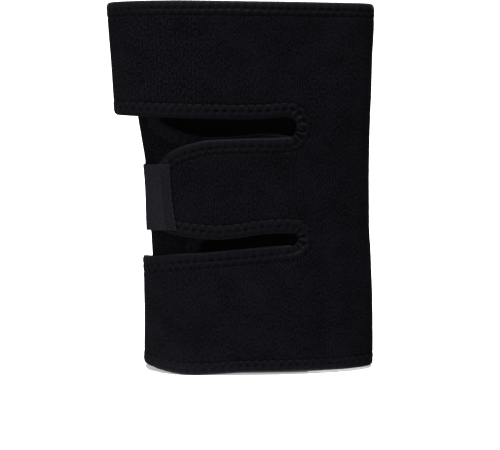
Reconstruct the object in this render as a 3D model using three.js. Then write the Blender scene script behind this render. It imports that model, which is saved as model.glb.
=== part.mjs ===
// A wrap-around knee support: one sheet of fabric-faced neoprene, cut with slots into three straps at
// each end, edged with folded binding tape, rolled into a flattened sleeve and closed by hook tabs.
// Millimetres, +Z up the leg, +Y away from the side that shows the straps, origin under the middle.
import * as THREE from "three";
import { mergeVertices } from "three/addons/utils/BufferGeometryUtils.js";

// Driving dimensions
const HEIGHT = 280;
const NEOPRENE = 3.5; // thickness of the sheet with its two fabric faces
const TAPE = 0.8; // thickness of the binding tape
const TAPE_WIDTH = 10.5; // how far the tape reaches in from the cut edge, on both faces
const TAB = 1.2; // thickness of the hook tabs
const TAB_HEIGHT = 49.5;
const GAP = 0.4; // clearance between pieces that touch
const LAYER_PITCH = 7.5; // middle of one layer to the middle of the next where straps overlap

// The sleeve seen from above is an oval. Its crown, the part that stands out furthest, is left of centre.
const CROWN_X = -29;
const FRONT_DEPTH = 32; // crown of the strap side, to the middle of the sheet
const BACK_DEPTH = 23;
const OVAL_POWER = 2.2; // 2 is an ellipse, more is flatter with tighter folds

// Outermost x of each fold at a few heights: the outer straps' fold, the inner fold and the plain fold.
// The sheet is drawn in a little under the tape at the hems and slots.
const FOLDS = [
  { z: 0, outer: -75.7, inner: -68.5, right: 101.2 },
  { z: 14, outer: -75.6, inner: -68.2, right: 102.5 },
  { z: 40, outer: -75.5, inner: -68.0, right: 102.6 },
  { z: 88, outer: -75.7, inner: -69.1, right: 100.3 },
  { z: 112, outer: -77.9, inner: -70.4, right: 99.0 },
  { z: 160, outer: -80.7, inner: -73.2, right: 98.4 },
  { z: 195, outer: -96.2, inner: -79.2, right: 99.1 },
  { z: 210, outer: -98.0, inner: -81.4, right: 99.6 },
  { z: 240, outer: -99.9, inner: -85.5, right: 100.4 },
  { z: 266, outer: -101.5, inner: -89.0, right: 100.8 },
  { z: 280, outer: -101.5, inner: -91.0, right: 99.9 },
];

// How far the lower hem stands off the ground along its run: the outer straps ride up a little.
const HEM_LIFT = [
  { angle: 190, lift: 0 },
  { angle: 270, lift: 1.5 },
  { angle: 345, lift: 2 },
  { angle: 364, lift: 0 },
  { angle: 374, lift: 0 },
  { angle: 386, lift: 0.8 },
  { angle: 418, lift: 3.9 },
  { angle: 450, lift: 4.2 },
  { angle: 540, lift: 4.2 },
];

// Finished edges of the two slots on the strap side, from their open ends to where they round off.
// Past the outer fold, x counts on by the depth behind the fold.
const UPPER_SLOT = {
  end: { x: 42, z: 188.2, round: 7 },
  above: [
    { x: -93, z: 196.2 },
    { x: -56, z: 194.7 },
    { x: 5, z: 193.4 },
    { x: 35, z: 195.0 },
  ],
  below: [
    { x: -73, z: 159.2 },
    { x: -67.5, z: 162.8 },
    { x: -59.5, z: 168.5 },
    { x: -49, z: 172.6 },
    { x: -37, z: 175.8 },
    { x: -24, z: 178.1 },
    { x: 5, z: 179.3 },
    { x: 36, z: 180.0 },
  ],
};
const LOWER_SLOT = {
  end: { x: 42, z: 103.1, round: 7 },
  above: [
    { x: -67, z: 114.6 },
    { x: -62, z: 111.6 },
    { x: -51, z: 106.9 },
    { x: -35.5, z: 104.7 },
    { x: -18, z: 103.3 },
    { x: -2, z: 104.5 },
    { x: 11, z: 106.5 },
    { x: 26, z: 107.8 },
    { x: 36, z: 107.8 },
  ],
  below: [
    { x: -105, z: 83.0 },
    { x: -91, z: 85.2 },
    { x: -75, z: 88.0 },
    { x: -62, z: 90.4 },
    { x: -49, z: 92.3 },
    { x: -29, z: 93.4 },
    { x: 5, z: 96.4 },
    { x: 36, z: 98.7 },
  ],
};

// The slots at the inner end are channels with a long rounded end. Beside the outer slots their edges shift
// up: the inner middle strap shows as a thin step in the upper slot and not at all in the lower one.
const INNER_UPPER_SLOT = {
  end: { x: -60, z: 193.4, round: 36 },
  half: 13.9,
  shift: [
    { x: -30, above: 0, below: 0 },
    { x: -5, above: 0, below: 1.0 },
    { x: 22, above: 0, below: 2.4 },
    { x: 38, above: 0, below: 0.9 },
  ],
};
const INNER_LOWER_SLOT = {
  end: { x: -34.5, z: 90, round: 19 },
  half: 13.9,
  shift: [
    { x: -20, above: 0, below: 0 },
    { x: 14, above: 7, below: 0 },
  ],
};

const INNER_TIP_X = 48; // where the inner straps end
const STRAP_END_X = -66.5; // where the middle strap ends, under its hook tab
const BAND_END = 525; // turn angle where the upper and lower straps end

// Turn angle, in degrees, runs along the sheet: 0 inner crown, 90 inner fold, 180 back,
// 270 right fold, 360 strap-side crown, 450 outer fold, 540 back again, over the first layer.
const DEPTHS = [FRONT_DEPTH - LAYER_PITCH, BACK_DEPTH, FRONT_DEPTH, BACK_DEPTH + LAYER_PITCH];

// Monotone curve through the rows of a table, so that it never swings past them.
function curveThrough(rows, key, column) {
  const rise = rows.slice(1).map((row, i) => (row[column] - rows[i][column]) / (row[key] - rows[i][key]));
  const slope = rows.map((_, i) => {
    const before = rise[Math.max(i - 1, 0)];
    const after = rise[Math.min(i, rise.length - 1)];
    return before * after <= 0 ? 0 : (2 * before * after) / (before + after);
  });
  return (value) => {
    const at = THREE.MathUtils.clamp(value, rows[0][key], rows.at(-1)[key]);
    const i = Math.max(0, Math.min(rows.length - 2, rows.findIndex((row) => row[key] >= at) - 1));
    const span = rows[i + 1][key] - rows[i][key];
    const t = (at - rows[i][key]) / span;
    const keep = (1 + 2 * t) * (1 - t) ** 2;
    const lean = span * t * (1 - t) * ((1 - t) * slope[i] - t * slope[i + 1]);
    return rows[i][column] * keep + rows[i + 1][column] * (1 - keep) + lean;
  };
}

const foldAt = {
  outer: curveThrough(FOLDS, "z", "outer"),
  inner: curveThrough(FOLDS, "z", "inner"),
  right: curveThrough(FOLDS, "z", "right"),
};

// Half width of the oval on the side that a turn angle lies on, to the middle of the sheet.
function halfWidth(angle, z) {
  const onRight = Math.sin(THREE.MathUtils.degToRad(angle)) < 0;
  if (onRight) return foldAt.right(z) - NEOPRENE / 2 - CROWN_X;
  const fold = angle > 270 ? foldAt.outer(z) : foldAt.inner(z);
  return CROWN_X - fold - NEOPRENE / 2;
}

// Point at a turn angle and height, a distance out from the middle of the sheet.
function wrap(angle, z, out) {
  const s = Math.sin(THREE.MathUtils.degToRad(angle));
  const c = Math.cos(THREE.MathUtils.degToRad(angle));
  const width = halfWidth(angle, z);
  const depth = DEPTHS[Math.floor((angle + 90) / 180)];
  const along = Math.abs(s) ** (2 / OVAL_POWER);
  const across = Math.abs(c) ** (2 / OVAL_POWER);
  const facing = new THREE.Vector3(
    (-Math.sign(s) * along ** (OVAL_POWER - 1)) / width,
    (-Math.sign(c) * across ** (OVAL_POWER - 1)) / depth,
    0,
  ).normalize();
  const onSheet = new THREE.Vector3(CROWN_X - Math.sign(s) * width * along, -Math.sign(c) * depth * across, z);
  return onSheet.addScaledVector(facing, out);
}

// Turn angle at which a layer of the strap side passes a given x: turn 0 is inner, turn 1 is outer.
function angleAt(x, z, turn) {
  const base = 360 * turn;
  const side = x < CROWN_X ? 1 : -1;
  const share = Math.min(1, Math.abs(x - CROWN_X) / halfWidth(base + side, z));
  return base + side * THREE.MathUtils.radToDeg(Math.asin(share ** (OVAL_POWER / 2)));
}

// Finished edges of a slot of the strap side at x, rounded off into a quarter of an ellipse at its end.
function slotEdges(slot) {
  const above = curveThrough(slot.above, "x", "z");
  const below = curveThrough(slot.below, "x", "z");
  const roundFrom = slot.end.x - slot.end.round;
  return (x) => {
    if (x >= slot.end.x) return { above: slot.end.z, below: slot.end.z };
    const t = Math.max(0, (x - roundFrom) / slot.end.round);
    const open = Math.sqrt(1 - t * t);
    return {
      above: THREE.MathUtils.lerp(slot.end.z, above(Math.min(x, roundFrom)), open),
      below: THREE.MathUtils.lerp(slot.end.z, below(Math.min(x, roundFrom)), open),
    };
  };
}

function innerSlotEdges(slot) {
  const shiftAbove = curveThrough(slot.shift, "x", "above");
  const shiftBelow = curveThrough(slot.shift, "x", "below");
  return (x) => {
    const t = THREE.MathUtils.clamp((slot.end.x + slot.end.round - x) / slot.end.round, 0, 1);
    const open = slot.half * Math.sqrt(1 - t * t);
    return { above: slot.end.z + open + shiftAbove(x), below: slot.end.z - open + shiftBelow(x) };
  };
}

const SLOTS = {
  upper: { outer: UPPER_SLOT, inner: INNER_UPPER_SLOT },
  lower: { outer: LOWER_SLOT, inner: INNER_LOWER_SLOT },
};
for (const slot of Object.values(SLOTS)) {
  slot.outerEdges = slotEdges(slot.outer);
  slot.innerEdges = innerSlotEdges(slot.inner);
  slot.outerEnd = angleAt(slot.outer.end.x, HEIGHT / 2, 1);
  slot.innerEnd = angleAt(slot.inner.end.x, slot.inner.end.z, 0);
}

// Cut edges of the sheet lie inside the finished edges by the tape that is folded over them.
const ROLL = TAPE + GAP;
const INNER_TIP = angleAt(INNER_TIP_X, HEIGHT / 2, 0);
const STRAP_END = angleAt(STRAP_END_X, HEIGHT / 2, 1);

// Heights of a slot's two cut edges at a turn angle. Between its two ends they meet on one line.
function slotAt(slot, angle) {
  if (angle > slot.innerEnd && angle < slot.outerEnd) {
    const t = (angle - slot.innerEnd) / (slot.outerEnd - slot.innerEnd);
    const z = THREE.MathUtils.lerp(slot.inner.end.z, slot.outer.end.z, t);
    return { above: z, below: z, open: false };
  }
  const outer = angle >= slot.outerEnd;
  const edges = outer ? slot.outerEdges : slot.innerEdges;
  const end = outer ? slot.outer.end : slot.inner.end;
  const atEnd = angle === slot.outerEnd || angle === slot.innerEnd;
  if (atEnd) return { above: end.z, below: end.z, open: false };
  const at = wrap(angle, end.z, 0);
  const x = angle > 450 ? foldAt.outer(end.z) + NEOPRENE / 2 - at.y : at.x;
  const { above, below } = edges(x);
  return { above: above + ROLL, below: below - ROLL, open: true };
}

// Turn angles of the columns of the sheet: closer together in the folds and round the slot ends.
function columnAngles() {
  const angles = new Set([INNER_TIP, STRAP_END, BAND_END]);
  const spread = (from, to, steps) => {
    for (let i = 0; i <= steps; i++) angles.add(from + ((to - from) * i) / steps);
  };
  for (const slot of Object.values(SLOTS)) {
    for (const turned of [22, 45, 68, 90]) {
      const back = slot.outer.end.round * (1 - Math.cos(THREE.MathUtils.degToRad(turned)));
      angles.add(angleAt(slot.outer.end.x - back, HEIGHT / 2, 1));
    }
    for (const turned of [15, 30, 45, 60, 75, 90]) {
      const back = slot.inner.end.round * (1 - Math.cos(THREE.MathUtils.degToRad(turned)));
      angles.add(angleAt(slot.inner.end.x + back, slot.inner.end.z, 0));
    }
  }
  const spreadAcross = (from, to, steps, turn) => {
    for (let i = 0; i <= steps; i++) angles.add(angleAt(from + ((to - from) * i) / steps, HEIGHT / 2, turn));
  };
  spreadAcross(INNER_TIP_X, 0, 4, 0);
  spread(42, 60, 4);
  spread(60, 120, 6);
  spread(120, 240, 8);
  spread(240, 300, 9);
  spread(300, 325, 5);
  spreadAcross(20, -24, 3, 1);
  spreadAcross(-24, STRAP_END_X, 6, 1);
  spread(STRAP_END, 480, 8);
  spread(480, BAND_END, 4);
  const CLOSEST = 0.2; // degrees: columns nearer than this to a kept one are dropped
  const kept = [INNER_TIP, STRAP_END, BAND_END];
  for (const slot of Object.values(SLOTS)) kept.push(slot.outerEnd, slot.innerEnd);
  for (const angle of [...angles].sort((a, b) => a - b)) {
    if (kept.every((other) => Math.abs(other - angle) > CLOSEST)) kept.push(angle);
  }
  return [...new Set(kept)].sort((a, b) => a - b);
}
const COLUMNS = columnAngles();

// Gathers faces and welds them into one closed geometry.
class Skin {
  points = [];

  quad(a, b, c, d) {
    for (const p of [a, b, c, a, c, d]) this.points.push(p.x, p.y, p.z);
  }

  // Joins rings of points, each ring a closed loop, and closes both ends.
  tube(rings) {
    const count = rings[0].length;
    for (let k = 0; k + 1 < rings.length; k++) {
      for (let i = 0; i < count; i++) {
        const j = (i + 1) % count;
        this.quad(rings[k][i], rings[k][j], rings[k + 1][j], rings[k + 1][i]);
      }
    }
  }

  geometry() {
    const position = new THREE.Float32BufferAttribute(this.points, 3);
    const welded = mergeVertices(new THREE.BufferGeometry().setAttribute("position", position), 1e-4);
    const index = [];
    for (let i = 0; i < welded.index.count; i += 3) {
      const [a, b, c] = [0, 1, 2].map((k) => welded.index.getX(i + k));
      if (a !== b && b !== c && a !== c) index.push(a, b, c);
    }
    welded.setIndex(index);
    welded.computeVertexNormals();
    return welded;
  }
}

const hemLift = curveThrough(HEM_LIFT, "angle", "lift");
const lowerHem = (angle) => ({ z: ROLL + hemLift(angle), open: true });
const upperHem = () => ({ z: HEIGHT - ROLL, open: true });

// Heights of the rows between two edges: even steps, and one more row just past the tape of a hem.
function rowHeights(low, high, hemBelow, hemAbove) {
  const steps = hemBelow || hemAbove ? 3 : 4;
  const pastTape = TAPE_WIDTH + 2;
  const start = hemBelow ? low + pastTape : low;
  const stop = hemAbove ? high - pastTape : high;
  const even = Array.from({ length: steps + 1 }, (_, i) => THREE.MathUtils.lerp(start, stop, i / steps));
  return [...(hemBelow ? [low] : []), ...even, ...(hemAbove ? [high] : [])];
}

// Adds a run of sheet between a lower and an upper edge, with walls along the edges that are open.
function addBand(skin, columns, lower, upper) {
  const half = NEOPRENE / 2;
  const grid = columns.map((angle) => {
    const heights = rowHeights(lower(angle).z, upper(angle).z, lower === lowerHem, upper === upperHem);
    return heights.map((z) => ({ face: wrap(angle, z, half), lining: wrap(angle, z, -half) }));
  });
  const rows = grid[0].length - 1;
  const wall = (p, q) => skin.quad(p.face, q.face, q.lining, p.lining);
  for (let j = 0; j + 1 < columns.length; j++) {
    for (let i = 0; i < rows; i++) {
      const [a, b, c, d] = [grid[j][i], grid[j][i + 1], grid[j + 1][i + 1], grid[j + 1][i]];
      skin.quad(a.face, b.face, c.face, d.face);
      skin.quad(d.lining, c.lining, b.lining, a.lining);
    }
    const openBelow = lower(columns[j]).open || lower(columns[j + 1]).open;
    const openAbove = upper(columns[j]).open || upper(columns[j + 1]).open;
    if (openBelow) wall(grid[j][0], grid[j + 1][0]);
    if (openAbove) wall(grid[j + 1][rows], grid[j][rows]);
  }
  for (let i = 0; i < rows; i++) {
    wall(grid[0][i + 1], grid[0][i]);
    wall(grid.at(-1)[i], grid.at(-1)[i + 1]);
  }
}

const edgeOf = (slot, side) => (angle) => {
  const at = slotAt(slot, angle);
  return { z: at[side], open: at.open };
};

function neopreneWrap() {
  const skin = new Skin();
  const { upper, lower } = SLOTS;
  const strapColumns = COLUMNS.filter((angle) => angle <= STRAP_END);
  addBand(skin, COLUMNS, lowerHem, edgeOf(lower, "below"));
  addBand(skin, strapColumns, edgeOf(lower, "above"), edgeOf(upper, "below"));
  addBand(skin, COLUMNS, edgeOf(upper, "above"), upperHem);
  return skin.geometry();
}

// Folded tape round an edge. The route gives, for each station, a point of the cut edge, which turn it
// lies on and the way into the sheet, as seen from the strap side. Each leg of the fold is made of strips.
function binding(route, strips) {
  const inside = NEOPRENE / 2 + GAP;
  const outside = inside + TAPE;
  const across = (from, to) =>
    Array.from({ length: strips + 1 }, (_, i) => THREE.MathUtils.lerp(from, to, i / strips));
  const section = [
    ...across(TAPE_WIDTH, -GAP).map((reach) => ({ reach, out: inside })),
    ...across(-GAP, TAPE_WIDTH).map((reach) => ({ reach, out: -inside })),
    ...across(TAPE_WIDTH, -ROLL).map((reach) => ({ reach, out: -outside })),
    ...across(-ROLL, TAPE_WIDTH).map((reach) => ({ reach, out: outside })),
  ];
  const rings = route.map((at) =>
    section.map(({ reach, out }) => {
      const z = at.z + at.inward.z * reach;
      const level = Math.abs(at.inward.x) < 1e-6;
      const angle = level ? at.angle : angleAt(at.x + at.inward.x * reach, z, at.turn);
      return wrap(angle, z, out);
    }),
  );
  const skin = new Skin();
  skin.tube(rings);
  const last = section.length - 1;
  const cap = (ring, flip) => {
    for (let i = 0; i < last - i - 1; i++) {
      const corners = [ring[last - i], ring[i], ring[i + 1], ring[last - i - 1]];
      skin.quad(...(flip ? corners.reverse() : corners));
    }
  };
  cap(rings[0], true);
  cap(rings.at(-1), false);
  return skin.geometry();
}

function hemBinding(hem, into) {
  const columns = into > 0 ? COLUMNS : [...COLUMNS].reverse();
  return binding(columns.map((angle) => ({ angle, z: hem(angle).z, inward: { x: 0, z: into } })), 1);
}

// Route along one cut edge of a slot, out along the columns from its end, then turned to face inward.
function slotRoute(slot, turn, until, side) {
  const outward = turn === 1;
  const end = outward ? slot.outerEnd : slot.innerEnd;
  const columns = COLUMNS.filter((angle) => (outward ? angle > end && angle <= until : angle < end && angle >= until));
  if (!outward) columns.reverse();
  return columns.map((angle) => {
    const z = slotAt(slot, angle)[side];
    return { angle, z, turn, x: wrap(angle, z, 0).x };
  });
}

// Tape round a slot: in along its upper edge, round its end and back along its lower edge.
function slotBinding(slot, turn, untilAbove, untilBelow) {
  const above = slotRoute(slot, turn, untilAbove, "above").reverse();
  const below = slotRoute(slot, turn, untilBelow, "below");
  const endAngle = turn === 1 ? slot.outerEnd : slot.innerEnd;
  const endZ = slotAt(slot, endAngle).above;
  const tip = { angle: endAngle, z: endZ, turn, x: wrap(endAngle, endZ, 0).x };
  const route = [...above, tip, ...below];
  route.forEach((at, i) => {
    const before = route[Math.max(i - 1, 0)];
    const after = route[Math.min(i + 1, route.length - 1)];
    const run = new THREE.Vector2(after.x - before.x, after.z - before.z).normalize();
    const inFold = at.angle > 415;
    const side = turn === 1 ? 1 : -1;
    const up = i <= above.length ? 1 : -1;
    at.inward = inFold ? { x: 0, z: up } : { x: -run.y * side, z: run.x * side };
  });
  return binding(turn === 1 ? route.reverse() : route, 3);
}

// A hook tab is a plain strip from the face of a strap, over its end and onto the layer below.
function hookTab(low, high, from, blendFrom, blendTo, to) {
  const STEPS = 24;
  const onStrap = NEOPRENE / 2 + GAP + TAPE + GAP + TAB / 2;
  const onLayer = NEOPRENE / 2 + GAP + TAB / 2;
  const place = (angle, z, out) => {
    const drop = THREE.MathUtils.smoothstep(angle, blendFrom, blendTo);
    return wrap(angle, z, onStrap + out).lerp(wrap(angle - 360, z, onLayer + out), drop);
  };
  const rings = Array.from({ length: STEPS + 1 }, (_, k) => {
    const share = k / STEPS;
    const corner = (z, out) => place(THREE.MathUtils.lerp(from(z), to, share), z, out);
    return [corner(low, TAB / 2), corner(high, TAB / 2), corner(high, -TAB / 2), corner(low, -TAB / 2)];
  });
  const skin = new Skin();
  skin.tube(rings);
  skin.quad(...[...rings[0]].reverse());
  skin.quad(...rings.at(-1));
  return skin.geometry();
}

function middleHookTab() {
  const low = 109.8;
  const high = low + TAB_HEIGHT;
  const edgeX = (z) => THREE.MathUtils.mapLinear(z, low, high, -47.6, -52.8);
  return hookTab(low, high, (z) => angleAt(edgeX(z), z, 1), STRAP_END + 3, 444, 512);
}

function bandHookTab(middle) {
  const low = middle - TAB_HEIGHT / 2;
  return hookTab(low, low + TAB_HEIGHT, () => BAND_END - 7, BAND_END + 1, BAND_END + 14, BAND_END + 28);
}

const MATERIALS = {
  neoprene: new THREE.MeshStandardMaterial({ color: 0x131217, roughness: 0.95, metalness: 0 }),
  binding: new THREE.MeshStandardMaterial({ color: 0x17161b, roughness: 0.8, metalness: 0 }),
  hook_tape: new THREE.MeshStandardMaterial({ color: 0x24232a, roughness: 0.75, metalness: 0 }),
};

const support = new THREE.Group();
function add(name, material, geometry) {
  const mesh = new THREE.Mesh(geometry, MATERIALS[material]);
  mesh.name = name;
  support.add(mesh);
}

const UPPER_BAND_MIDDLE = 238;
const LOWER_BAND_MIDDLE = 46;
add("neoprene_wrap", "neoprene", neopreneWrap());
add("top_binding", "binding", hemBinding(upperHem, -1));
add("bottom_binding", "binding", hemBinding(lowerHem, 1));
add("upper_slot_binding", "binding", slotBinding(SLOTS.upper, 1, BAND_END, STRAP_END));
add("lower_slot_binding", "binding", slotBinding(SLOTS.lower, 1, STRAP_END, BAND_END));
add("inner_upper_slot_binding", "binding", slotBinding(SLOTS.upper, 0, INNER_TIP, INNER_TIP));
add("inner_lower_slot_binding", "binding", slotBinding(SLOTS.lower, 0, INNER_TIP, INNER_TIP));
add("middle_hook_tab", "hook_tape", middleHookTab());
add("upper_hook_tab", "hook_tape", bandHookTab(UPPER_BAND_MIDDLE));
add("lower_hook_tab", "hook_tape", bandHookTab(LOWER_BAND_MIDDLE));

export default support;
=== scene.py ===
# %% [markdown]
# # A wrap-around knee support
# One sheet of black neoprene, with a fabric face on both sides, is slotted into three straps at each end,
# bound with folded tape, rolled into a flattened sleeve and closed by hook tabs. The CAD solids give its
# place and size. This lesson draws the same curves again as cloth, with the tape's stitching and puckers,
# and mixes a finish for each cloth from nodes.

# %% Load the CAD frame
import math

import bpy
import numpy as np
from mathutils.kdtree import KDTree
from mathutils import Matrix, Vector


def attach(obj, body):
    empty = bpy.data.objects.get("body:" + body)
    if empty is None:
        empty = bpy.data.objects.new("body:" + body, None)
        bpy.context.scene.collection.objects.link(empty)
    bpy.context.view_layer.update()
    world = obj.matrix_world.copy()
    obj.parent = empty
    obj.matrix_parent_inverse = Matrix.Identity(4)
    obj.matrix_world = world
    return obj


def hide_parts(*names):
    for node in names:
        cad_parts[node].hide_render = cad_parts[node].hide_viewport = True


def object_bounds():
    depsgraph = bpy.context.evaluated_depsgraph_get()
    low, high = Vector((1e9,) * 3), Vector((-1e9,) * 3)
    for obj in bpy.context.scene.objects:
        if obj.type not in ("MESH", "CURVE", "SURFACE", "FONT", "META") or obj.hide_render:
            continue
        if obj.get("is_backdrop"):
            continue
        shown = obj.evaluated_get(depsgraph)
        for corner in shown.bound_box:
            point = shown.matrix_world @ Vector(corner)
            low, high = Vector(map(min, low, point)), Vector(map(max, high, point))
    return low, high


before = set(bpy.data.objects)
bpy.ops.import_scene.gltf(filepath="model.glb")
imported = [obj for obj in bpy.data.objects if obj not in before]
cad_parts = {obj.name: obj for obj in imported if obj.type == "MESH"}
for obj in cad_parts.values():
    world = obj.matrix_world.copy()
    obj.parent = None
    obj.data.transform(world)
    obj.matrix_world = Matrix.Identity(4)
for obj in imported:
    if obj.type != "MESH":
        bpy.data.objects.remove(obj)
cad_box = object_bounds()
print("CAD nodes:", ", ".join(sorted(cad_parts)))

# %% [markdown]
# ## Camera
# The support was photographed from the strap side with a short telephoto lens, from a little above its
# middle. A camera can be placed by eye, but the hems give it away: the lower hem bows down more than the
# upper one, so the lens looks down by a few degrees. The lens length comes from the focal length in pixels.

# %% Camera
PICTURE_WIDTH_PX = 500
FOCAL_PX = 1195.5
SENSOR_MM = 36.0
PITCH_DOWN = math.radians(6.5)
CAMERA_PLACE = (0.0068, -0.922, 0.216)


def deselect_all():
    """Leave nothing selected, so that the next operator acts only on what is new."""
    bpy.ops.object.select_all(action="DESELECT")


deselect_all()
bpy.ops.object.camera_add(location=CAMERA_PLACE, rotation=(math.pi / 2 - PITCH_DOWN, 0, 0))
camera = bpy.context.object
camera.data.sensor_width = SENSOR_MM
camera.data.lens = FOCAL_PX / PICTURE_WIDTH_PX * SENSOR_MM
bpy.context.scene.camera = camera
print(f"lens {camera.data.lens:.1f} mm")

# %% [markdown]
# ## Studio cove
# The black cloth is shown on white paper. A plane with a horizon would do from the front alone, so the paper
# is a cove, seamless from every side: the rim of a round floor is extruded upwards, and the corner between
# floor and wall is bevelled into a curve. It is a backdrop only. It lights nothing and casts no shadow, so
# the lamps alone shape the cloth.

# %% Cove
COVE_RADIUS = 2.6
COVE_WALL = 2.4
COVE_CURVE = 1.1
deselect_all()
bpy.ops.mesh.primitive_circle_add(vertices=96, radius=COVE_RADIUS, fill_type="NGON")
cove = bpy.context.object
cove.name = "studio_cove"
bpy.ops.object.mode_set(mode="EDIT")
bpy.ops.mesh.select_mode(type="EDGE")
bpy.ops.mesh.select_all(action="SELECT")
bpy.ops.mesh.extrude_edges_move(TRANSFORM_OT_translate={"value": (0, 0, COVE_WALL)})
bpy.ops.mesh.select_all(action="DESELECT")
bpy.ops.object.mode_set(mode="OBJECT")
for edge in cove.data.edges:
    edge.select = all(cove.data.vertices[i].co.z < 0.001 for i in edge.vertices)
bpy.ops.object.mode_set(mode="EDIT")
bpy.ops.mesh.bevel(offset=COVE_CURVE, segments=14, affect="EDGES")
bpy.ops.object.mode_set(mode="OBJECT")
bpy.ops.object.shade_smooth_by_angle(angle=math.radians(30))
cove.visible_diffuse = False
cove.visible_glossy = False
cove.visible_shadow = False
cove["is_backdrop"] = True
print("cove faces:", len(cove.data.polygons))

# %% [markdown]
# ## Lights
# Black cloth shows its form only where it catches light. Here the light comes from above, the top hem has a
# bright line along its roll, and the lower hem is lit from the paper under it. One lamp can't do all that,
# so there are four soft boxes: a wide one high in front, one behind for the top hem, a small low one at the
# front left, and a narrow strip below the floor, which stands for the glow of the paper on the lower hem.

# %% Soft boxes
SUPPORT_MIDDLE = (0.0, 0.0, 0.14)
SOFT_BOXES = {
    "low_box": {"place": (-0.5, -0.55, 0.1), "aim": (-0.02, 0.0, 0.03), "size": (0.18, 0.18), "watts": 1.1},
    "top_box": {"place": (-0.15, -1.1, 6.0), "aim": SUPPORT_MIDDLE, "size": (3.5, 3.5), "watts": 770},
    "back_box": {"place": (0.3, 1.2, 1.5), "aim": SUPPORT_MIDDLE, "size": (1.2, 1.2), "watts": 50},
    "floor_glow": {
        "place": (0.006, -0.029, -0.035),
        "aim": (0.005, -0.019, 0.0),
        "size": (0.18, 0.033),
        "watts": 0.19,
    },
}


def soft_box(name, place, aim, size, watts):
    """Hang a soft box at a place and turn it towards the point that it lights."""
    deselect_all()
    bpy.ops.object.light_add(type="AREA", location=place)
    lamp = bpy.context.object
    lamp.name = name
    lamp.data.shape = "RECTANGLE"
    lamp.data.size, lamp.data.size_y = size
    lamp.data.energy = watts
    reach = np.subtract(aim, place)
    lamp.rotation_euler = (
        math.atan2(math.hypot(reach[0], reach[1]), -reach[2]),
        0,
        math.atan2(-reach[0], reach[1]),
    )


for name, box in SOFT_BOXES.items():
    soft_box(name, **box)

# %% [markdown]
# ### White room
# The room round the cove fills the shadows. A flat grey would be simpler, but in the picture the left side is
# a little lighter than the right, and what looks down isn't quite black. So the fill follows the direction
# that it comes from: it is stronger from below and from the left.


# %% White room
def add_node(tree, kind, sockets=None, stops=(), **settings):
    """Add a node, set its options and colour stops, and fill or link its input sockets."""
    node = tree.nodes.new(kind)
    for option, value in settings.items():
        setattr(node, option, value)
    for i, (position, colour) in enumerate(stops):
        node.color_ramp.elements[i].position = position
        node.color_ramp.elements[i].color = colour
    for key, value in (sockets or {}).items():
        if isinstance(value, bpy.types.NodeSocket):
            tree.links.new(value, node.inputs[key])
        else:
            node.inputs[key].default_value = value
    return node


world = bpy.data.worlds.new("white_room")
world.use_nodes = True
bpy.context.scene.world = world
bpy.context.scene.view_settings.view_transform = "Standard"
print("world:", world.name)

# %% Fill that follows its direction
FILL_FROM_BELOW = 0.42
FILL_FROM_ABOVE = 0.28
LEFT_SHARE = 1.25
RIGHT_SHARE = 0.7
room = world.node_tree
heading = add_node(room, "ShaderNodeTexCoord").outputs["Generated"]
way = add_node(room, "ShaderNodeSeparateXYZ", {0: heading}).outputs
level = add_node(
    room,
    "ShaderNodeMapRange",
    {
        "Value": way["Z"],
        "From Min": -1.0,
        "From Max": 0.2,
        "To Min": FILL_FROM_BELOW,
        "To Max": FILL_FROM_ABOVE,
    },
)
side = add_node(
    room,
    "ShaderNodeMapRange",
    {"Value": way["X"], "From Min": -1.0, "To Min": LEFT_SHARE, "To Max": RIGHT_SHARE},
)
fill = add_node(
    room,
    "ShaderNodeMath",
    {0: level.outputs["Result"], 1: side.outputs["Result"]},
    operation="MULTIPLY",
)
room.links.new(fill.outputs[0], room.nodes["Background"].inputs["Strength"])
room.nodes["Background"].inputs["Color"].default_value = (1, 1, 1, 1)
print("nodes of the room:", len(room.nodes))

# %% [markdown]
# ## The rolled sheet
# Seen from above, the sleeve is an oval that is a little squarer than an ellipse, and its folds lean
# outwards with height. A cloth simulation could roll it, but the photograph fixes where every edge ends up,
# so one function says where a point of the sheet goes instead. It takes a turn angle along the sheet, a
# height, and a distance out from the middle of its thickness. Lengths are millimetres, as in the CAD source.

# %% Sizes of the sheet
MM = 0.001
HEIGHT = 280.0
NEOPRENE = 3.5
LAYER_PITCH = 7.5
CROWN_X = -29.0
FRONT_DEPTH = 32.0
BACK_DEPTH = 23.0
OVAL_POWER = 2.2
DEPTHS = np.array([FRONT_DEPTH - LAYER_PITCH, BACK_DEPTH, FRONT_DEPTH, BACK_DEPTH + LAYER_PITCH])

# Outermost x of the folds at a few heights.
FOLD_Z = [0, 14, 40, 88, 112, 160, 195, 210, 240, 266, 280]
OUTER_FOLD = [-76.0, -76.0, -75.5, -76.5, -77.9, -80.7, -96.6, -97.8, -99.5, -101.3, -101.9]
INNER_FOLD = [-68.5, -68.2, -68.0, -69.1, -70.4, -74.3, -79.6, -81.4, -85.5, -89.0, -91.0]
RIGHT_FOLD = [102.6, 103.6, 103.2, 100.9, 99.3, 98.7, 99.1, 99.6, 100.2, 101.4, 101.0]


def curve_through(places, values):
    """Smooth curve through a table that never swings past the table's own values."""
    places, values = np.array(places, float), np.array(values, float)
    rise = np.diff(values) / np.diff(places)
    before, after = np.append(rise[0], rise), np.append(rise, rise[-1])
    same_way = before * after > 0
    slope = np.where(same_way, 2 * before * after / np.where(same_way, before + after, 1), 0)

    def curve(place):
        at = np.clip(place, places[0], places[-1])
        i = np.clip(np.searchsorted(places, at) - 1, 0, len(places) - 2)
        span = places[i + 1] - places[i]
        t = (at - places[i]) / span
        keep = (1 + 2 * t) * (1 - t) ** 2
        lean = span * t * (1 - t) * ((1 - t) * slope[i] - t * slope[i + 1])
        return values[i] * keep + values[i + 1] * (1 - keep) + lean

    return curve


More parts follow.
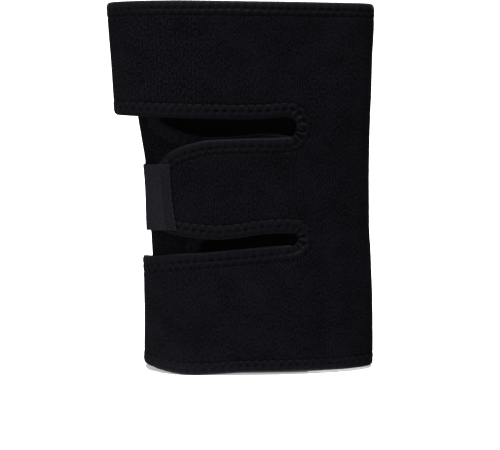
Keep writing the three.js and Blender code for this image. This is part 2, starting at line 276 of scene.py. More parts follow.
outer_fold = curve_through(FOLD_Z, OUTER_FOLD)
inner_fold = curve_through(FOLD_Z, INNER_FOLD)
right_fold = curve_through(FOLD_Z, RIGHT_FOLD)
print(f"fold to fold at the top: {RIGHT_FOLD[-1] - OUTER_FOLD[-1]:.1f} mm")


# %% Where a point of the sheet goes
def half_width(angle, z):
    """Half width of the oval on the side that a turn angle lies on, to the middle of the sheet."""
    left = np.where(np.asarray(angle) > 270, outer_fold(z), inner_fold(z))
    on_right = np.sin(np.radians(angle)) < 0
    return np.where(on_right, right_fold(z) - CROWN_X, CROWN_X - left) - NEOPRENE / 2


def wrap(angle, z, out):
    """Points of the rolled sheet at turn angles and heights, a distance out from its middle."""
    angle, z, out = np.broadcast_arrays(*(np.asarray(a, float) for a in (angle, z, out)))
    s, c = np.sin(np.radians(angle)), np.cos(np.radians(angle))
    width = half_width(angle, z)
    depth = DEPTHS[np.clip(np.floor((angle + 90) / 180).astype(int), 0, 3)]
    along, across = np.abs(s) ** (2 / OVAL_POWER), np.abs(c) ** (2 / OVAL_POWER)
    facing_x = -np.sign(s) * along ** (OVAL_POWER - 1) / width
    facing_y = -np.sign(c) * across ** (OVAL_POWER - 1) / depth
    size = np.hypot(facing_x, facing_y)
    x = CROWN_X - np.sign(s) * width * along + out * facing_x / size
    y = -np.sign(c) * depth * across + out * facing_y / size
    return np.stack([x, y, z], axis=-1)


def angle_at(x, z, turn):
    """Turn angle at which the inner layer (turn 0) or the outer one (turn 1) of the front passes x."""
    side = np.where(np.asarray(x) < CROWN_X, 1, -1)
    share = np.clip(np.abs(x - CROWN_X) / half_width(360 * turn + side, z), 0, 1)
    return 360 * turn + side * np.degrees(np.arcsin(share ** (OVAL_POWER / 2)))


front, back = wrap([360, 540], HEIGHT / 2, 0)
print(f"front to back half way up: {back[1] - front[1]:.1f} mm")

# %% Length along the flat sheet
INNER_TIP_X = 48.0
STRAP_END_X = -66.5
BAND_END = 525.0


def along_run(points):
    """Length run along a line of points, starting at nought."""
    return np.append(0, np.cumsum(np.linalg.norm(np.diff(points, axis=0), axis=1)))


# Every quarter of a degree, from before the inner end to past the outer one.
RUN_ANGLES = np.linspace(-60, 570, 2521)
RUN_MM = along_run(wrap(RUN_ANGLES, HEIGHT / 2, 0))


def run_at(angle):
    """Length along the flat sheet, in millimetres, at a turn angle."""
    return np.interp(angle, RUN_ANGLES, RUN_MM)


INNER_TIP = float(angle_at(INNER_TIP_X, HEIGHT / 2, 0))
STRAP_END = float(angle_at(STRAP_END_X, HEIGHT / 2, 1))

# %% [markdown]
# ## Edges
# Every edge that shows is bound: two hems, the two slots of the outer straps, and the two slots of the inner
# end, which show only as a dark step inside the outer slots. Edges could be drawn as curves and bent round
# the oval, but then the sheet and its tape would need fitting to each other. Here a short table gives each
# edge's height along the sheet, and both the cut sheet and the tape read it.

# %% Heights of the hems
# How much shorter the foam is cut than the finished edge, which the tape rolls over.
ROLL = 1.2
# Turn angles, and the heights of the finished edge there.
lower_hem = curve_through(
    [190, 270, 345, 364, 374, 386, 418, 450, 540],
    [0, 1.5, 2, 0, 0, 0.8, 3.5, 3.8, 3.8],
)
upper_hem = curve_through([270, 340, 372, 540], [HEIGHT, HEIGHT, HEIGHT + 0.7, HEIGHT + 0.8])
print(f"lower hem rises {np.ptp(lower_hem(RUN_ANGLES)):.1f} mm round the sleeve")

# %% Slots of the outer straps
# The closed end and its rounding, and the heights of the edges above and below the slot at some places in x.
UPPER_SLOT = {
    "end": (41.6, 188.2),
    "round": 7.0,
    "above": curve_through([-93, -56, 5, 35], [196.2, 194.7, 193.4, 195.0]),
    "below": curve_through(
        [-73, -67.5, -59.5, -49, -37, -24, 5, 36],
        [159.2, 162.8, 168.5, 172.6, 175.8, 178.1, 179.3, 180.0],
    ),
}
LOWER_SLOT = {
    "end": (42.6, 103.1),
    "round": 6.0,
    "above": curve_through(
        [-67, -62, -51, -35.5, -18, -2, 11, 26, 36],
        [114.6, 111.6, 106.9, 104.7, 103.3, 104.5, 106.5, 107.8, 107.8],
    ),
    "below": curve_through(
        [-105, -91, -75, -62, -49, -29, 5, 36],
        [83.0, 85.2, 88.0, 90.4, 92.3, 93.4, 96.4, 98.7],
    ),
}
print("the outer slots end at x, z:", UPPER_SLOT["end"], LOWER_SLOT["end"])

# %% Slots of the inner end
# The closed end of an inner slot is an ellipse where blunt is 2, more pointed below that and squarer above.
# The shifts bend its two edges away from straight lines.
INNER_UPPER_SLOT = {
    "end": (-60.0, 193.4),
    "half": 13.9,
    "round": 36.0,
    "blunt": 1.5,
    "low_shift": curve_through([-30, -5, 22, 38], [0.0, 1.0, 3.5, 0.9]),
    "high_shift": curve_through([-30, 38], [0.0, 0.0]),
}
INNER_LOWER_SLOT = {
    "end": (-31.5, 90.0),
    "half": 13.9,
    "round": 18.0,
    "blunt": 3.0,
    "low_shift": curve_through([-30, 38], [0.0, 0.0]),
    "high_shift": curve_through([-20, 14], [0.0, 7.0]),
}
print("the inner slots end at x, z:", INNER_UPPER_SLOT["end"], INNER_LOWER_SLOT["end"])


# %% Edges of the slots
def ease(value, start, stop):
    """Rise smoothly from 0 at start to 1 at stop."""
    t = np.clip((value - start) / (stop - start), 0, 1)
    return t * t * (3 - 2 * t)


def sheet_x(angle, z):
    """x of the sheet at a turn angle. Past the outer fold it counts on by the depth behind the fold."""
    point = wrap(angle, z, 0)
    return np.where(angle > 450, outer_fold(z) + NEOPRENE / 2 - point[..., 1], point[..., 0])


def outer_slot_edges(slot, x):
    """Heights of a front slot's lower and upper edge at x. They meet at its rounded end."""
    end_x, end_z = slot["end"]
    straight_x = np.minimum(x, end_x - slot["round"])
    t = np.clip((x - end_x + slot["round"]) / slot["round"], 0, 1)
    opening = np.sqrt(1 - t**2)
    low = end_z + (slot["below"](straight_x) - end_z) * opening
    high = end_z + (slot["above"](straight_x) - end_z) * opening
    return low, high


def inner_slot_edges(slot, x):
    """Heights of an inner slot's lower and upper edge at x."""
    end_x, end_z = slot["end"]
    t = np.clip((end_x + slot["round"] - x) / slot["round"], 0, 1)
    opening = slot["half"] * (1 - t ** slot["blunt"]) ** (1 / slot["blunt"])
    return end_z - opening + slot["low_shift"](x), end_z + opening + slot["high_shift"](x)


def cut_edges(outer, inner, angle):
    """Heights of the two cut edges of a slot line all along the sheet, and where the slot is open."""
    x = sheet_x(angle, outer["end"][1])
    outer_end = angle_at(outer["end"][0], HEIGHT / 2, 1)
    inner_end = angle_at(inner["end"][0], inner["end"][1], 0)
    t = np.clip((angle - inner_end) / (outer_end - inner_end), 0, 1)
    between = inner["end"][1] + (outer["end"][1] - inner["end"][1]) * t
    low_out, high_out = outer_slot_edges(outer, x)
    low_in, high_in = inner_slot_edges(inner, x)
    low = np.where(angle >= outer_end, low_out, np.where(angle <= inner_end, low_in, between))
    high = np.where(angle >= outer_end, high_out, np.where(angle <= inner_end, high_in, between))
    return low - ROLL, high + ROLL, (angle > outer_end) | (angle < inner_end)


print(f"upper slot at x=0: {np.ptp(outer_slot_edges(UPPER_SLOT, 0.0)):.1f} mm tall")

# %% [markdown]
# ### Routes for the tape
# Tape is fed along an edge at an even pace, so an edge becomes a route: a list of stations, each with its
# turn angle, its height and the way from the edge into the sheet. Equal steps of x would bunch up at a
# slot's closed end. The stations are spread by length instead, half way between the edge and a line 8 mm in
# from it, so that they crowd neither on the inside of the curve nor on its outside.

# %% Stations along a hem
STATION_MM = 0.45
FINE_MM = 0.1
PACE_LINE = 8.0
HEM_POINTS = 3000


def even_route(angle, z, turn, into_sheet):
    """Spread stations evenly along a line of turn angles and heights, and find the way into the sheet."""
    run = along_run(wrap(angle, z, 0))
    fine = np.linspace(0, run[-1], int(run[-1] / FINE_MM) + 1)
    angle, z = np.interp(fine, run, angle), np.interp(fine, run, z)
    x = wrap(angle, z, 0)[:, 0]
    into_x, into_z = into_sheet(angle, x, z)
    inner_line = np.stack([x + into_x * PACE_LINE, z + into_z * PACE_LINE], axis=-1)
    pace = (fine + np.where(np.abs(into_x).max() > 0, along_run(inner_line), fine)) / 2
    spots = np.interp(np.linspace(0, pace[-1], int(pace[-1] / STATION_MM) + 1), pace, fine)
    route = {"angle": angle, "z": z, "x": x, "into_x": into_x, "into_z": into_z}
    route = {key: np.interp(spots, fine, values) for key, values in route.items()}
    return {**route, "turn": turn, "run": spots}


def hem_route(height, into):
    """Route along the whole upper or lower hem."""
    angle = np.linspace(INNER_TIP, BAND_END, HEM_POINTS)
    return even_route(angle, height(angle), 0, lambda a, x, z: (np.zeros_like(a), np.full_like(a, into)))


ROUTES = {"top_binding": hem_route(upper_hem, -1.0), "bottom_binding": hem_route(lower_hem, 1.0)}
print("stations along the hems:", [len(route["run"]) for route in ROUTES.values()])

# %% Stations round a slot
ROUND_STEPS = np.radians(np.linspace(0, 90, 60))
EDGE_POINTS = 1500
# Towards the left fold the way into the sheet turns upright over these degrees.
UPRIGHT_FROM = 411
UPRIGHT_OVER = 12


def slot_route(edges, slot, turn, above_until, below_until):
    """Route along a slot's upper edge to its closed end, round it, and back along its lower edge."""
    way = 1 if turn == 1 else -1
    end_x, end_z = slot["end"]
    round_x = end_x - way * slot["round"] * (1 - np.cos(ROUND_STEPS))

    def straight(until, edge):
        angle = np.linspace(until, angle_at(round_x[-1], end_z, turn), EDGE_POINTS)[:-1]
        return angle, edges(slot, sheet_x(angle, end_z))[edge]

    above_angle, above_z = straight(above_until, 1)
    below_angle, below_z = straight(below_until, 0)
    round_low, round_high = edges(slot, round_x)
    angle = np.concatenate([
        above_angle,
        angle_at(round_x[::-1], round_high[::-1], turn),
        angle_at(round_x, round_low, turn)[1:],
        below_angle[::-1],
    ])
    z = np.concatenate([above_z, round_high[::-1], round_low[1:], below_z[::-1]])

    def into_sheet(a, x, height):
        step_x, step_z = np.gradient(x), np.gradient(height)
        size = np.hypot(step_x, step_z)
        into_x, into_z = -way * step_z / size, way * step_x / size
        up = np.where(np.arange(len(a)) < np.argmax(way * x), 1.0, -1.0)
        upright = np.clip((a - UPRIGHT_FROM) / UPRIGHT_OVER, 0, 1)
        return into_x * (1 - upright), into_z * (1 - upright) + up * upright

    route = even_route(angle, z, turn, into_sheet)
    route["tip"] = route["run"][np.argmax(way * route["x"])]
    return route


ROUTES |= {
    "upper_slot_binding": slot_route(outer_slot_edges, UPPER_SLOT, 1, BAND_END, STRAP_END),
    "lower_slot_binding": slot_route(outer_slot_edges, LOWER_SLOT, 1, STRAP_END, BAND_END),
    "inner_upper_slot_binding": slot_route(inner_slot_edges, INNER_UPPER_SLOT, 0, INNER_TIP, INNER_TIP),
    "inner_lower_slot_binding": slot_route(inner_slot_edges, INNER_LOWER_SLOT, 0, INNER_TIP, INNER_TIP),
}
for name, route in ROUTES.items():
    print(f"{name}: {route['run'][-1]:.0f} mm of tape")

# %% [markdown]
# ### How each tape is sewn
# No two runs of tape are sewn quite alike. The row of stitches lies nearer the edge on one than on another,
# it pulls harder here and there, and below a slot the roll is flatter. A single average would lose that, so
# each run has its own few numbers: a value along the upper edge, and what is added past the closed end.

# %% How each tape is sewn
TAPE_WIDTH = 10.7
TIP_BLEND = 20
PLAIN_RUN = {"width": (TAPE_WIDTH, 0.0), "row": (5.3, 1.8), "pull": (0.6, 0.0), "flat_roll": (0.0, 0.0)}
TAPE_RUNS = {
    "top_binding": {"row": (6.2, 0.0), "pull": (0.9, 0.0)},
    "bottom_binding": {"width": (9.2, 0.0), "row": (5.0, 0.0), "pull": (0.75, 0.0)},
    "upper_slot_binding": {"pull": (0.88, 0.22), "flat_roll": (0.0, 0.2)},
    "lower_slot_binding": {"width": (TAPE_WIDTH, 1.5), "pull": (0.8, 0.3), "flat_roll": (0.0, 0.3)},
}
# Creases of the gathered tape at a closed end: distance past the end along the edge, and depth.
CREASES_MM = {
    "upper_slot_binding": {3.0: 1.0, 5.4: 1.0, 7.8: 0.8},
    "lower_slot_binding": {-3.6: 0.6, -1.0: 1.0, 1.3: 1.0, 3.6: 0.8, 6.0: 0.7},
}
for name, route in ROUTES.items():
    past_tip = np.zeros_like(route["run"])
    if "tip" in route:
        past_tip = ease(route["run"], route["tip"] - TIP_BLEND, route["tip"] + TIP_BLEND)
    for key, (first, more) in {**PLAIN_RUN, **TAPE_RUNS.get(name, {})}.items():
        route[key] = first + more * past_tip
    route["creases"] = CREASES_MM.get(name, {})
    print(f"{name}: {route['width'][0]:.1f} to {route['width'][-1]:.1f} mm wide")

# %% [markdown]
# ## Neoprene
# The sheet is foam rubber between two knit faces. It starts as a flat grid. Its rows are close together along
# the edges, where the tape bites into the foam, and its columns are even along the run, and closer round the
# ends of the slots. A box cut by booleans would give the outline, but not rows that follow every edge.

# %% A flat grid of cloth
EDGE_ROWS = np.array([0, 3.0, 6.0, 7.6, 8.4, 9.0, 9.5, 10.0, 10.5, 11.1, 12.0, 13.5, 15.5, 18.5])
FIELD_ROWS = 11


def flat_cloth(name, columns, rows):
    """Lay out a flat grid and return it with the column and row that each of its points belongs to."""
    deselect_all()
    bpy.ops.mesh.primitive_grid_add(x_subdivisions=columns - 1, y_subdivisions=rows - 1, size=2)
    cloth = bpy.context.object
    cloth.name = name
    flat = np.empty(len(cloth.data.vertices) * 3)
    cloth.data.vertices.foreach_get("co", flat)
    flat = flat.reshape(-1, 3)
    column = np.rint((flat[:, 0] + 1) / 2 * (columns - 1)).astype(int)
    row = np.rint((flat[:, 1] + 1) / 2 * (rows - 1)).astype(int)
    return cloth, column, row


def even_angles(start, stop, step):
    """Turn angles that are evenly spaced along the sheet."""
    runs = np.linspace(run_at(start), run_at(stop), int((run_at(stop) - run_at(start)) / step) + 1)
    return np.interp(runs, RUN_MM, RUN_ANGLES)


def band_rows(bottom, top):
    """Heights of the rows of one band of the sheet, for every column."""
    field = np.linspace(0, 1, FIELD_ROWS + 2)[1:-1]
    low = bottom[:, None] + EDGE_ROWS
    high = top[:, None] - EDGE_ROWS[::-1]
    middle = low[:, -1:] + (high[:, :1] - low[:, -1:]) * field
    return np.hstack([low, middle, high])


print("rows in each band:", 2 * len(EDGE_ROWS) + FIELD_ROWS)

# %% Rows and columns of the sheet
COLUMN_MM = 2.5
END_COLUMN_MM = 1.0
SLOT_END_RIGHT_X = 66.0
SLOT_END_LEFT_X = 36.0
slot_ends = even_angles(
    angle_at(SLOT_END_RIGHT_X, HEIGHT / 2, 1),
    angle_at(SLOT_END_LEFT_X, HEIGHT / 2, 1),
    END_COLUMN_MM,
)
columns = np.unique(np.concatenate([even_angles(INNER_TIP, BAND_END, COLUMN_MM), slot_ends, [STRAP_END]]))
low_cut, low_top, low_open = cut_edges(LOWER_SLOT, INNER_LOWER_SLOT, columns)
high_cut, high_top, high_open = cut_edges(UPPER_SLOT, INNER_UPPER_SLOT, columns)
heights = np.hstack([
    band_rows(lower_hem(columns) + ROLL, low_cut),
    band_rows(low_top, high_cut),
    band_rows(high_top, upper_hem(columns) - ROLL),
])
BAND = heights.shape[1] // 3
neoprene, column, row = flat_cloth("neoprene_sheet", len(columns), heights.shape[1])
print("grid:", len(columns), "by", heights.shape[1])

# %% [markdown]
# ### Slots
# On the real sheet the slots are cut out while it lies flat, and so they are here: the faces that lie in a
# slot, or past the end of the middle strap, are selected and deleted. A boolean would leave ragged edges
# where it crosses the rows. Each point keeps its column and row as an attribute, because deleting faces
# renumbers the points.


# %% Cut the slots and the strap's end out of the grid
def keep_number(cloth, name, values):
    """Keep a whole number on every point, so that it survives when faces are deleted."""
    cloth.data.attributes.new(name, "INT", "POINT").data.foreach_set("value", values.astype(np.int32))


def kept_number(cloth, name):
    """Read the numbers that were kept on the points."""
    values = np.empty(len(cloth.data.vertices), np.int32)
    cloth.data.attributes[name].data.foreach_get("value", values)
    return values


def delete_faces(cloth, unwanted):
    """Select the faces that a test picks out, and delete them."""
    bpy.ops.object.mode_set(mode="EDIT")
    bpy.ops.mesh.select_mode(type="FACE")
    bpy.ops.mesh.select_all(action="DESELECT")
    bpy.ops.object.mode_set(mode="OBJECT")
    for face in cloth.data.polygons:
        face.select = bool(unwanted(face))
    bpy.ops.object.mode_set(mode="EDIT")
    bpy.ops.mesh.delete(type="FACE")
    bpy.ops.object.mode_set(mode="OBJECT")


def in_opening(face):
    """Whether a face of the flat grid lies in a slot or past the end of the middle strap."""
    near, below = column[face.vertices].min(), row[face.vertices].min()
    far = near + 1
    in_lower = below == BAND - 1 and (low_open[near] or low_open[far])
    in_upper = below == 2 * BAND - 1 and (high_open[near] or high_open[far])
    past_strap = columns[near] >= STRAP_END and BAND - 1 <= below <= 2 * BAND - 1
    return in_lower or in_upper or past_strap


keep_number(neoprene, "column", column)
keep_number(neoprene, "row", row)
delete_faces(neoprene, in_opening)
column, row = kept_number(neoprene, "column"), kept_number(neoprene, "row")
print("faces left:", len(neoprene.data.polygons))

# %% [markdown]
# ### Soft forms
# A sheet of foam doesn't keep a perfect oval. Its flat sides fall in half way up, its lower hem flares, the
# inner strap stands out behind the upper slot, and the edges beside the slots hang over or tuck in. Each of
# these could be sculpted with a brush. As small functions of turn and height they also move the tape, the
# thread and the tabs, so nothing comes apart.

# %% Soft forms of the sheet
# How far each form stands out, in millimetres, and where it lies, in degrees of turn and heights.
HOLLOW = {"hems": 0.8, "middle": 2.6}
FINGER = {"swell": 3.4, "turns": (12, 32), "height": 181, "reach": 13}
LEAN = {"swell": 4.2, "turn": 315, "reach": 22, "heights": (190, 285)}
FLARE = {"swell": 1.2, "height": 12}
BESIDE_SLOTS = (326, 338, 430, 455)
TUCK = {"swell": 2.0, "heights": (55, 90, 98, 104)}
OVERHANG = {"swell": 0.9, "lower": (99, 104, 106, 145), "upper": (186, 192, 195, 238)}
# Size of each ripple, its lengths along and up the sheet over 2 pi, and its start.
RIPPLES = ((0.2, 21, 47, 0.0), (0.12, 33, -23, 1.3))


def plateau(value, rise, top, edge, foot):
    """Rise smoothly from 0 to 1, stay there, and fall back to 0."""
    return ease(value, rise, top) * (1 - ease(value, edge, foot))


def soft_wave(angle, z):
    """How far the soft sheet stands out from the plain roll, in millimetres."""
    run = run_at(angle)
    half_way_up = np.cos(np.pi * (z / HEIGHT - 0.5)) ** 2
    hollow = (HOLLOW["hems"] - HOLLOW["middle"] * half_way_up) * np.cos(np.radians(angle)) ** 2
    finger = FINGER["swell"] * ease(-np.asarray(angle), *FINGER["turns"])
    finger = finger * np.exp(-(((z - FINGER["height"]) / FINGER["reach"]) ** 2))
    lean = LEAN["swell"] * ease(z, *LEAN["heights"])
    lean = lean * np.exp(-(((angle - LEAN["turn"]) / LEAN["reach"]) ** 2))
    flare = FLARE["swell"] * np.clip(1 - z / FLARE["height"], 0, 1) ** 2
    beside_slots = plateau(angle, *BESIDE_SLOTS)
    tuck = TUCK["swell"] * beside_slots * plateau(z, *TUCK["heights"])
    over_slots = plateau(z, *OVERHANG["lower"]) + plateau(z, *OVERHANG["upper"])
    overhang = OVERHANG["swell"] * beside_slots * over_slots
    ripple = sum(size * np.sin(run / along + z / up + start) for size, along, up, start in RIPPLES)
    return hollow + finger - lean + flare - tuck + overhang + ripple


print(f"the front is {-soft_wave(360.0, HEIGHT / 2):.1f} mm hollow half way up")

# %% [markdown]
# ### Rolling up
# Every point of the flat grid is moved to where the roll and the soft forms take it. Modifiers could bend the
# grid step by step, but one move keeps each column and row where the tables put it. The UV map keeps the
# point's place on the flat cloth, in metres, for the finishes.


# %% Roll the sheet up
def shape_cloth(cloth, points_mm, uv_mm):
    """Move every point of a grid to its place, and lay a UV map over it in metres of flat cloth."""
    cloth.data.vertices.foreach_set("co", (points_mm * MM).ravel())
    corners = np.empty(len(cloth.data.loops), int)
    cloth.data.loops.foreach_get("vertex_index", corners)
    cloth.data.uv_layers.active.data.foreach_set("uv", (uv_mm[corners] * MM).ravel())
    cloth.data.update()


def face_outwards(cloth, outward):
    """Turn the faces round if most of them look away from the given directions, one for each point."""
    facing = sum(face.normal.dot(outward[face.vertices[0]]) for face in cloth.data.polygons)
    if facing > 0:
        return
    bpy.ops.object.mode_set(mode="EDIT")
    bpy.ops.mesh.select_all(action="SELECT")
    bpy.ops.mesh.flip_normals()
    bpy.ops.object.mode_set(mode="OBJECT")


def triangles(piece):
    """Count the triangles that a mesh is drawn with."""
    return sum(len(face.vertices) - 2 for face in piece.data.polygons)


sheet_angle, sheet_z = columns[column], heights[column, row]
points = wrap(sheet_angle, sheet_z, soft_wave(sheet_angle, sheet_z))
shape_cloth(neoprene, points, np.stack([run_at(sheet_angle), sheet_z], axis=-1))
face_outwards(neoprene, wrap(sheet_angle, sheet_z, 1) - wrap(sheet_angle, sheet_z, 0))

# %% [markdown]
# ### Thickness
# The stitches squeeze the foam, so the sheet is thinner under the tape and swells to its full thickness just
# beside it. That swell is what makes neoprene look padded. A bump in the finish would fake it from the front
# only. Solidify gives the sheet its thickness, evenly to both faces, and a vertex group thins it by the
# distance to the nearest edge.

# %% Thin the foam under the tape
# Share of the thickness left under the tape, and how much less there is in the roll of the edge.
PINCHED = 0.78
ROLLED = 0.3
# Both change over these distances past the tape's inner edge.
PINCH_RAMP = (-0.9, 2.0)
ROLL_RAMP = (-5.0, -2.0)


def apply_solidify(cloth, thickness_mm, offset, group=""):
    """Give a sheet its thickness and keep the result. The side away from the face takes the last finish."""
    solid = cloth.modifiers.new("thickness", "SOLIDIFY")
    solid.material_offset = len(cloth.material_slots) - 1
    solid.thickness = thickness_mm * MM
    solid.offset = offset
    if group:
        solid.vertex_group = group
        solid.thickness_vertex_group = 0
    bpy.ops.object.modifier_apply(modifier=solid.name)
    bpy.ops.object.shade_smooth_by_angle(angle=math.radians(45))


edge_spots = np.vstack([np.stack([run_at(r["angle"]), r["z"]], axis=-1) for r in ROUTES.values()])
edge_tree = KDTree(len(edge_spots))
for i, (run, z) in enumerate(edge_spots):
    edge_tree.insert((run, z, 0), i)
edge_tree.balance()
tape_width = np.concatenate([route["width"] for route in ROUTES.values()])
nearest = [edge_tree.find((run, z, 0)) for run, z in zip(run_at(sheet_angle), sheet_z)]
past_tape = np.array([gap - tape_width[i] for _, i, gap in nearest])
swell = (1 - PINCHED) * ease(past_tape, *PINCH_RAMP)
rolled = ROLLED * (1 - ease(past_tape, *ROLL_RAMP))
foam = neoprene.vertex_groups.new(name="fullness")
for i, share in enumerate(PINCHED + swell - rolled):
    foam.add([i], float(share), "REPLACE")
for _ in ("face", "lining"):
    bpy.ops.object.material_slot_add()
apply_solidify(neoprene, NEOPRENE, 0, "fullness")
print("sheet triangles:", triangles(neoprene))

# %% [markdown]
# ## Binding tape
# A soft knit tape is folded over every edge and sewn through with a zigzag. Each stitch pulls a pit into the
# tape, and its other end nicks the tape's inner edge, so the tape reads as a row of little cushions. Round
# the closed end of a slot the tape gathers into creases. A curve with a bevel could carry a folded section,
# but pits and creases have to follow the stitches. So the tape is a grid again: one line of points across it
# follows a rounded hairpin, and every point is pressed in by its distance from the stitches.

# %% Hairpin section of the tape
# From the tape's edge on the face, over the rolled edge, to its edge on the lining. The first number is the
# distance in from the finished edge, the second the distance out from the middle of the sheet.
SECTION = np.array([
    (10.7, 1.28), (10.65, 1.56), (10.38, 1.75), (9.85, 1.88), (9.15, 1.96), (8.35, 2.02), (7.6, 2.05),
    (6.9, 2.06), (6.3, 2.06), (5.6, 2.12), (4.8, 2.17), (4.0, 2.15), (3.1, 2.04), (2.2, 1.84), (1.4, 1.52),
    (0.75, 1.10), (0.25, 0.60), (0.0, 0.0), (0.25, -0.55), (0.75, -1.02), (1.4, -1.42), (2.6, -1.86),
    (4.0, -2.13), (5.5, -2.10), (6.5, -2.05), (7.8, -2.10), (9.2, -2.02), (10.2, -1.82), (10.66, -1.50),
    (10.7, -1.20),
])
SECTION_RUN = along_run(SECTION)
STITCH_PITCH = 6.4
ROW_OUT = 2.5
# Unevenness of sewing: the size of each wave and its length over 2 pi, in millimetres, and its start.
PITCH_WAVES = ((0.45, 17, 0), (0.35, 7.3, 2))
ROW_WAVES = ((0.4, 29, 1), (0.25, 11, 0))


def on_tape(route, inwards, out):
    """Points beside the stations of a route: a distance in from the edge and out from the sheet."""
    keys = ("x", "z", "angle", "into_x", "into_z")
    stations = {key: np.asarray(route[key]).reshape(-1, 1) for key in keys}
    z = stations["z"] + stations["into_z"] * inwards
    x = stations["x"] + stations["into_x"] * inwards
    sloping = np.abs(stations["into_x"]) > 1e-6
    angle = np.where(sloping, angle_at(x, z, route["turn"]), stations["angle"])
    return wrap(angle, z, out + soft_wave(angle, z))


def uneven(run, waves):
    """Sum of slow waves along a run."""
    return sum(size * np.sin(run / length + start) for size, length, start in waves)


def stitch_phase(route):
    """Stitches counted along the row of pits, with the small unevenness of sewing."""
    run = along_run(on_tape(route, route["row"][:, None], ROW_OUT)[:, 0])
    return (run + uneven(run, PITCH_WAVES)) / STITCH_PITCH


print("tape wraps", round(SECTION_RUN[-1], 1), "mm round the edge")

# %% Sizes of the pits, nicks and creases
# Depths, lengths along the row and widths across it, in millimetres.
PIT = {"depth": 1.0, "length": 1.5, "width": 0.8}
NICK = {"depth": 0.42, "length": 1.1, "from_edge": (0.2, 4.0), "notch": 0.3}
PUCKER = {"depth": 0.4, "from_edge": (0.8, 2.6), "to_row": (-1.5, 0.5)}
GATHER = {"depth": 0.3, "pits": 0.6, "reach": 15}
CREASE = {"depth": 1.7, "width": 0.55, "fan": 7, "ends": (5.0, 8.5), "notch": 2.6, "notch_ends": (0.0, 5.0)}
# The pull varies by this share from stitch to stitch, in a beat of two waves that never line up.
UNEVEN_PULL = 0.25
PULL_BEAT = (2.4, 1.1)
FLAT_ROLL_ENDS = (1.5, 6.0)
# The rolled edge itself, near the middle of the sheet's thickness, isn't pressed in.
PRESSED_FROM = (0.3, 1.6)


def gap_to_whole(phase):
    """Distance to the nearest whole stitch, in millimetres."""
    return (phase - np.rint(phase)) * STITCH_PITCH


def bell(distance, width):
    """Bell curve of height 1."""
    return np.exp(-0.5 * (distance / width) ** 2)


print("stitches along the top hem:", int(stitch_phase(ROUTES["top_binding"])[-1]))


# %% Press the stitches into the tape
def tape_relief(route):
    """Place of every point of the tape: its hairpin section with pits, nicks, puckers and creases in it."""
    inwards = SECTION[:, 0] * (route["width"] / TAPE_WIDTH)[:, None]
    inwards = inwards * (1 - route["flat_roll"][:, None] * (1 - ease(inwards, *FLAT_ROLL_ENDS)))
    out = np.broadcast_to(SECTION[:, 1], inwards.shape)
    phase = stitch_phase(route)
    stitch = np.rint(phase)
    beat = np.sin(PULL_BEAT[0] * stitch) * np.cos(PULL_BEAT[1] * stitch)
    strength = route["pull"] * (1 + UNEVEN_PULL * beat)
    row = route["row"] + uneven(route["run"], ROW_WAVES)
    from_row = inwards - row[:, None]
    from_edge = route["width"][:, None] - inwards
    pit = bell(gap_to_whole(phase), PIT["length"])[:, None]
    pit = pit * bell(from_row, PIT["width"]) * strength[:, None]
    nick = (strength * bell(gap_to_whole(phase - 0.5), NICK["length"]))[:, None]
    nick = nick * (1 - ease(from_edge, *NICK["from_edge"]))
    pucker = (0.5 + 0.5 * np.cos(2 * np.pi * phase) * strength)[:, None]
    pucker = pucker * ease(inwards, *PUCKER["from_edge"]) * (1 - ease(from_row, *PUCKER["to_row"]))
    pressed = PIT["depth"] * pit + NICK["depth"] * nick + PUCKER["depth"] * pucker
    if "tip" in route:
        from_tip = route["run"] - route["tip"]
        near_tip = np.exp(-((from_tip / GATHER["reach"]) ** 2))[:, None]
        pressed = pressed + GATHER["depth"] * near_tip * (GATHER["pits"] * pit + pucker)
        for place, depth in route["creases"].items():
            aside = (from_tip - place)[:, None] * (1 + inwards / CREASE["fan"])
            crease = depth * bell(aside, CREASE["width"])
            pressed = pressed + CREASE["depth"] * crease * (1 - ease(inwards, *CREASE["ends"]))
            inwards = inwards + CREASE["notch"] * crease * (1 - ease(inwards, *CREASE["notch_ends"]))
    pressed = pressed * ease(np.abs(out), *PRESSED_FROM)
    return inwards - NICK["notch"] * nick, out - np.sign(out) * pressed


deepest = np.abs(tape_relief(ROUTES["top_binding"])[1] - SECTION[:, 1]).max()
print(f"the deepest pit of the top hem is {deepest:.2f} mm")

# %% Sew the tape on
TAPE_THICKNESS = 0.7
FOLD_MIDDLE = 5.0


def sew_tape(name, route):
    """Make one run of tape along a route."""
    tape, station, place = flat_cloth(name, len(route["z"]), len(SECTION))
    points = on_tape(route, *tape_relief(route))
    uv = np.stack([route["run"][station], SECTION_RUN[place]], axis=-1)
    shape_cloth(tape, points[station, place], uv)
    middle = on_tape(route, FOLD_MIDDLE, 0.0)
    face_outwards(tape, points[station, place] - middle[station, 0])
    apply_solidify(tape, TAPE_THICKNESS, -1)
    return tape


TAPES = {name: sew_tape(name.replace("binding", "tape"), route) for name, route in ROUTES.items()}
for name, tape in TAPES.items():
    print(name, "triangles:", triangles(tape))

# %% [markdown]
# ## Thread
# The zigzag itself hardly shows, black on black, but close up it explains every pit: the thread dives into a
# pit, climbs over the tape's inner edge and dives into the panel. Stitches could be a texture, but then no
# thread would stand up from the tape. It is a poly curve through those points with a round bevel, turned
# into a mesh.

# %% Round thread
THREAD_RADIUS = 0.21


